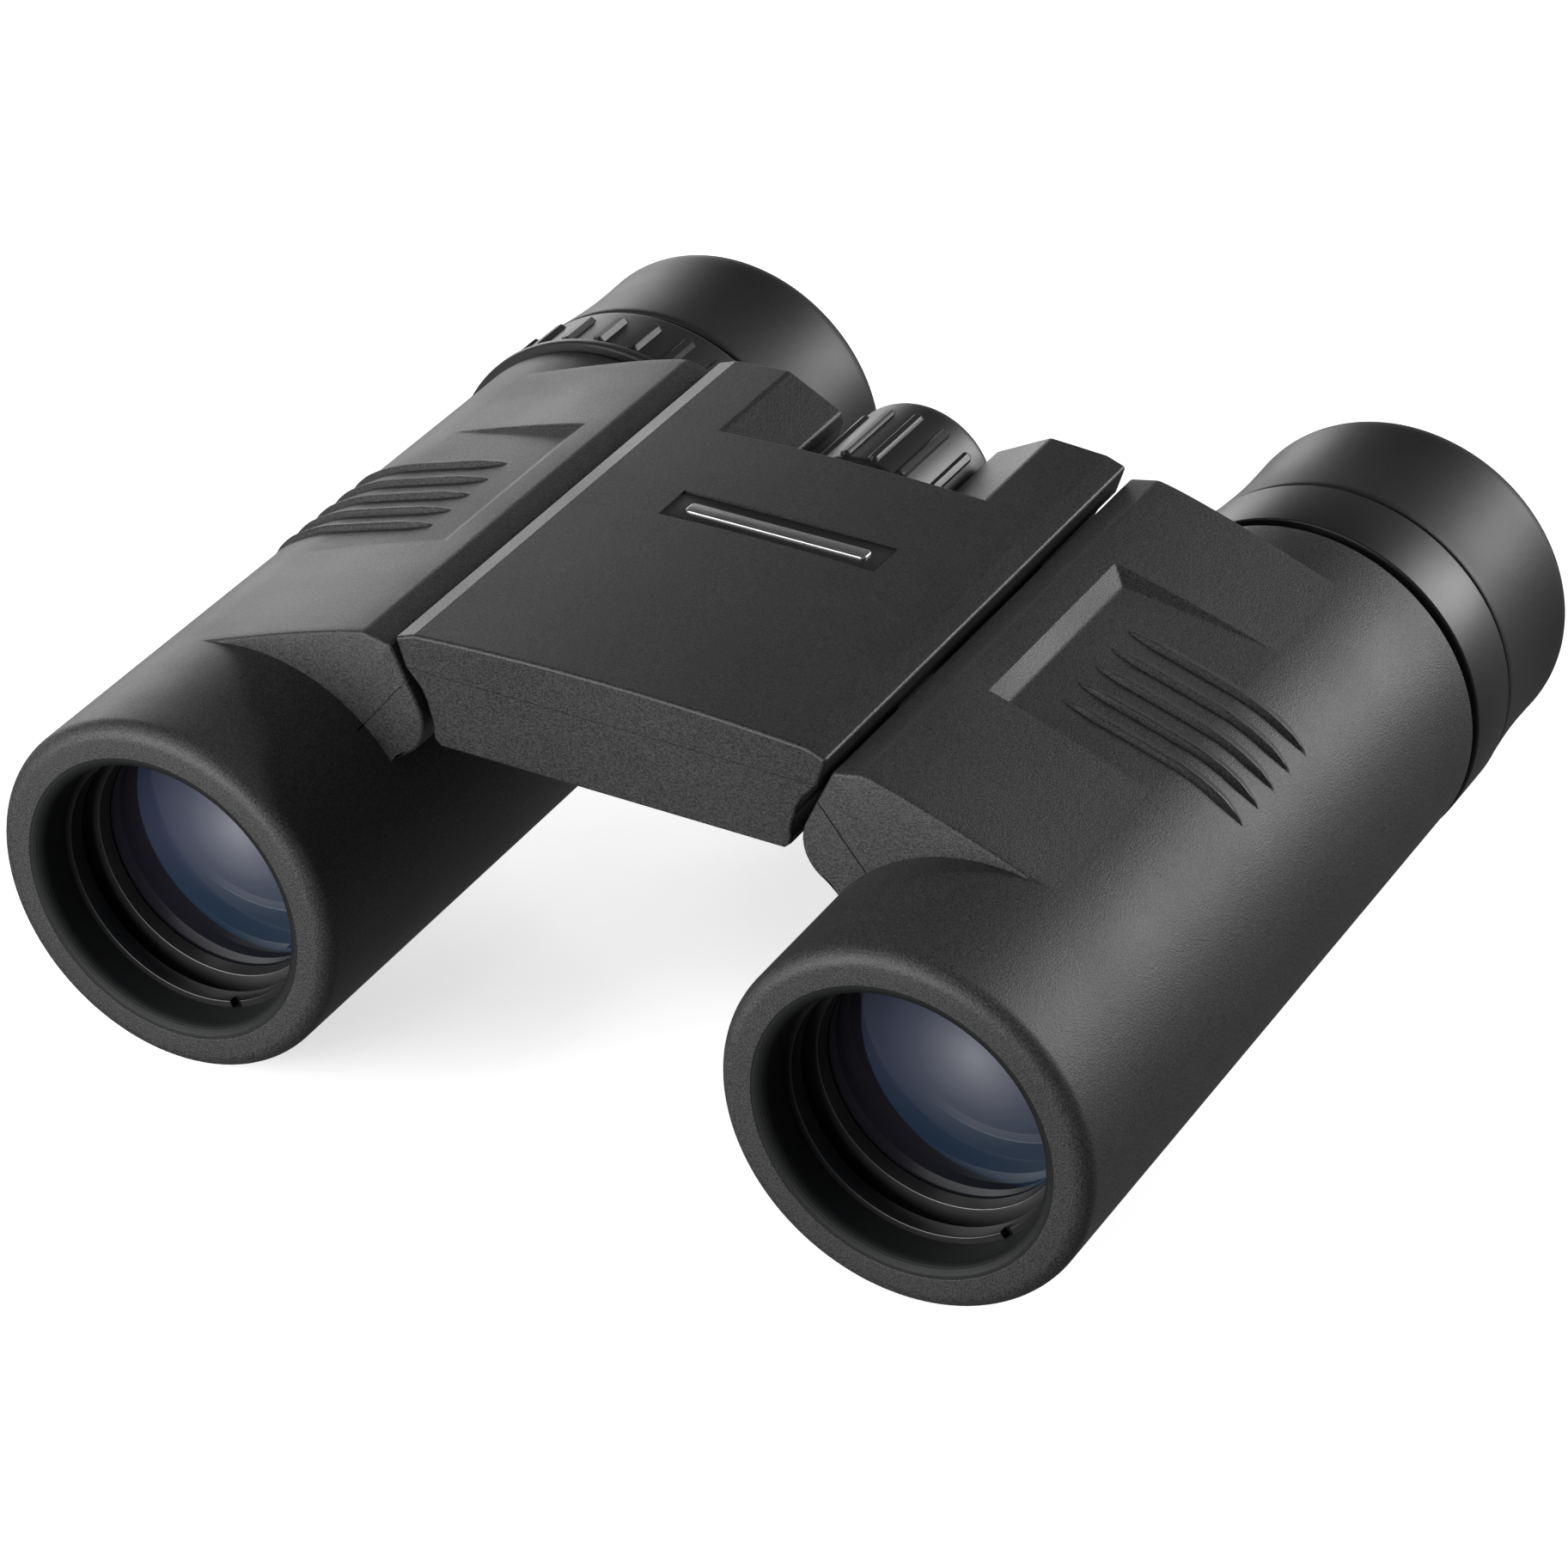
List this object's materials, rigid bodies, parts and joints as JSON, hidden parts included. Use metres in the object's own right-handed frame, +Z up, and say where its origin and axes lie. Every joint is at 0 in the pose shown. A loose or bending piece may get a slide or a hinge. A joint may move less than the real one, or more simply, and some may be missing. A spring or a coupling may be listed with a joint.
{
  "type": "binoculars",
  "caption": "Compact folding binoculars with a flat central bridge on two hinges, a central focus wheel, rubber-armoured barrels, a dioptre ring and twist-up eyecups.",
  "frame": {"origin": "centre plane between the barrels, halfway along their length, on the surface the binoculars rest on", "axes": "+Z up, towards the bridge; the objectives face -Y and the eyepieces +Y, so +X is the user's left"},
  "size_m": [0.1098, 0.104, 0.0429],
  "materials": {
    "armour": "fine-grained matt",
    "bridge": "fine matt grain",
    "housing": "matt black",
    "eyecup": "smooth satin",
    "collar": "satin",
    "grip": "satin",
    "black_metal": "black anodised",
    "steel": "ground",
    "brass": "machined",
    "washer": "low-friction plastic",
    "plate": "satin",
    "coated_glass": "blue-violet anti-reflection coating",
    "prism_glass": "polished"
  },
  "bodies": {
    "bridge": {"bridge_base": "bridge", "bridge_cover": "bridge", "name_plate": "plate", "bridge_screws": "black_metal", "hinge_pins": "steel", "hinge_washers": "washer", "guide_rods": "steel", "focus_bush": "brass"},
    "focus_wheel": {"focus_screw": "steel", "screw_clip": "steel", "focus_hub": "housing", "focus_grip": "grip", "focus_cap": "collar"},
    "focus_carriage": {"focus_carriage": "black_metal", "focus_nut": "brass", "push_rods": "steel"},
    "left_barrel": {"left_tube": "housing", "left_armour": "armour", "left_objective_ring": "black_metal", "left_prism_cage": "housing", "left_roof_prism": "prism_glass", "left_penta_prism": "prism_glass", "left_ocular_housing": "housing", "left_ocular_cell": "black_metal", "left_ocular_lenses": "coated_glass", "left_collar": "collar"},
    "right_barrel": {"right_tube": "housing", "right_armour": "armour", "right_objective_ring": "black_metal", "right_prism_cage": "housing", "right_roof_prism": "prism_glass", "right_penta_prism": "prism_glass", "right_ocular_housing": "housing"},
    "left_objective": {"left_objective_cell": "black_metal", "left_objective_lens": "coated_glass", "left_lens_ring": "black_metal"},
    "right_objective": {"right_objective_cell": "black_metal", "right_objective_lens": "coated_glass", "right_lens_ring": "black_metal"},
    "diopter_ring": {"right_diopter_ring": "collar"},
    "right_ocular": {"right_ocular_cell": "black_metal", "right_ocular_lenses": "coated_glass"},
    "left_eyecup_guide": {"left_eyecup_guide": "housing"},
    "right_eyecup_guide": {"right_eyecup_guide": "housing"},
    "left_eyecup": {"left_eyecup": "eyecup", "left_eyecup_sleeve": "housing"},
    "right_eyecup": {"right_eyecup": "eyecup", "right_eyecup_sleeve": "housing"}
  },
  "joints": [
    {"name": "left_hinge", "type": "hinge", "parent": "bridge", "child": "left_barrel", "pos_m": [0.02314, 0, 0.033], "axis": [0, 1, 0], "range_deg": [0, 56]},
    {"name": "right_hinge", "type": "hinge", "parent": "bridge", "child": "right_barrel", "pos_m": [-0.02314, 0, 0.033], "axis": [0, -1, 0], "range_deg": [0, 56]},
    {"name": "focus_spin", "type": "hinge", "parent": "bridge", "child": "focus_wheel", "pos_m": [0, 0, 0.0346], "axis": [0, 1, 0], "range_deg": [-270, 270]},
    {"name": "carriage_slide", "type": "slide", "parent": "bridge", "child": "focus_carriage", "axis": [0, 1, 0], "range_m": [-0.0018, 0.0018]},
    {"name": "left_objective_slide", "type": "slide", "parent": "left_barrel", "child": "left_objective", "axis": [0, 1, 0], "range_m": [-0.0018, 0.0018]},
    {"name": "right_objective_slide", "type": "slide", "parent": "right_barrel", "child": "right_objective", "axis": [0, 1, 0], "range_m": [-0.0018, 0.0018]},
    {"name": "diopter_turn", "type": "hinge", "parent": "right_barrel", "child": "diopter_ring", "pos_m": [-0.0369, 0, 0.0184], "axis": [0, 1, 0], "range_deg": [-40, 40]},
    {"name": "right_ocular_slide", "type": "slide", "parent": "right_barrel", "child": "right_ocular", "axis": [0, 1, 0], "range_m": [-0.001, 0.001]},
    {"name": "left_eyecup_twist", "type": "hinge", "parent": "left_barrel", "child": "left_eyecup_guide", "pos_m": [0.0369, 0, 0.0184], "axis": [0, 1, 0], "range_deg": [0, 120]},
    {"name": "left_eyecup_slide", "type": "slide", "parent": "left_eyecup_guide", "child": "left_eyecup", "axis": [0, 1, 0], "range_m": [0, 0.0065]},
    {"name": "right_eyecup_twist", "type": "hinge", "parent": "right_barrel", "child": "right_eyecup_guide", "pos_m": [-0.0369, 0, 0.0184], "axis": [0, 1, 0], "range_deg": [0, 120]},
    {"name": "right_eyecup_slide", "type": "slide", "parent": "right_eyecup_guide", "child": "right_eyecup", "axis": [0, 1, 0], "range_m": [0, 0.0065]}
  ],
  "couplings": [
    {"joint": "focus_spin", "follows": "carriage_slide", "rad_per_m": 2618},
    {"joint": "left_objective_slide", "follows": "carriage_slide", "ratio": 1},
    {"joint": "right_objective_slide", "follows": "carriage_slide", "ratio": 1},
    {"joint": "diopter_turn", "follows": "right_ocular_slide", "rad_per_m": 698.13},
    {"joint": "left_eyecup_slide", "follows": "left_eyecup_twist", "m_per_rad": 0.0031035},
    {"joint": "right_eyecup_slide", "follows": "right_eyecup_twist", "m_per_rad": 0.0031035}
  ]
}
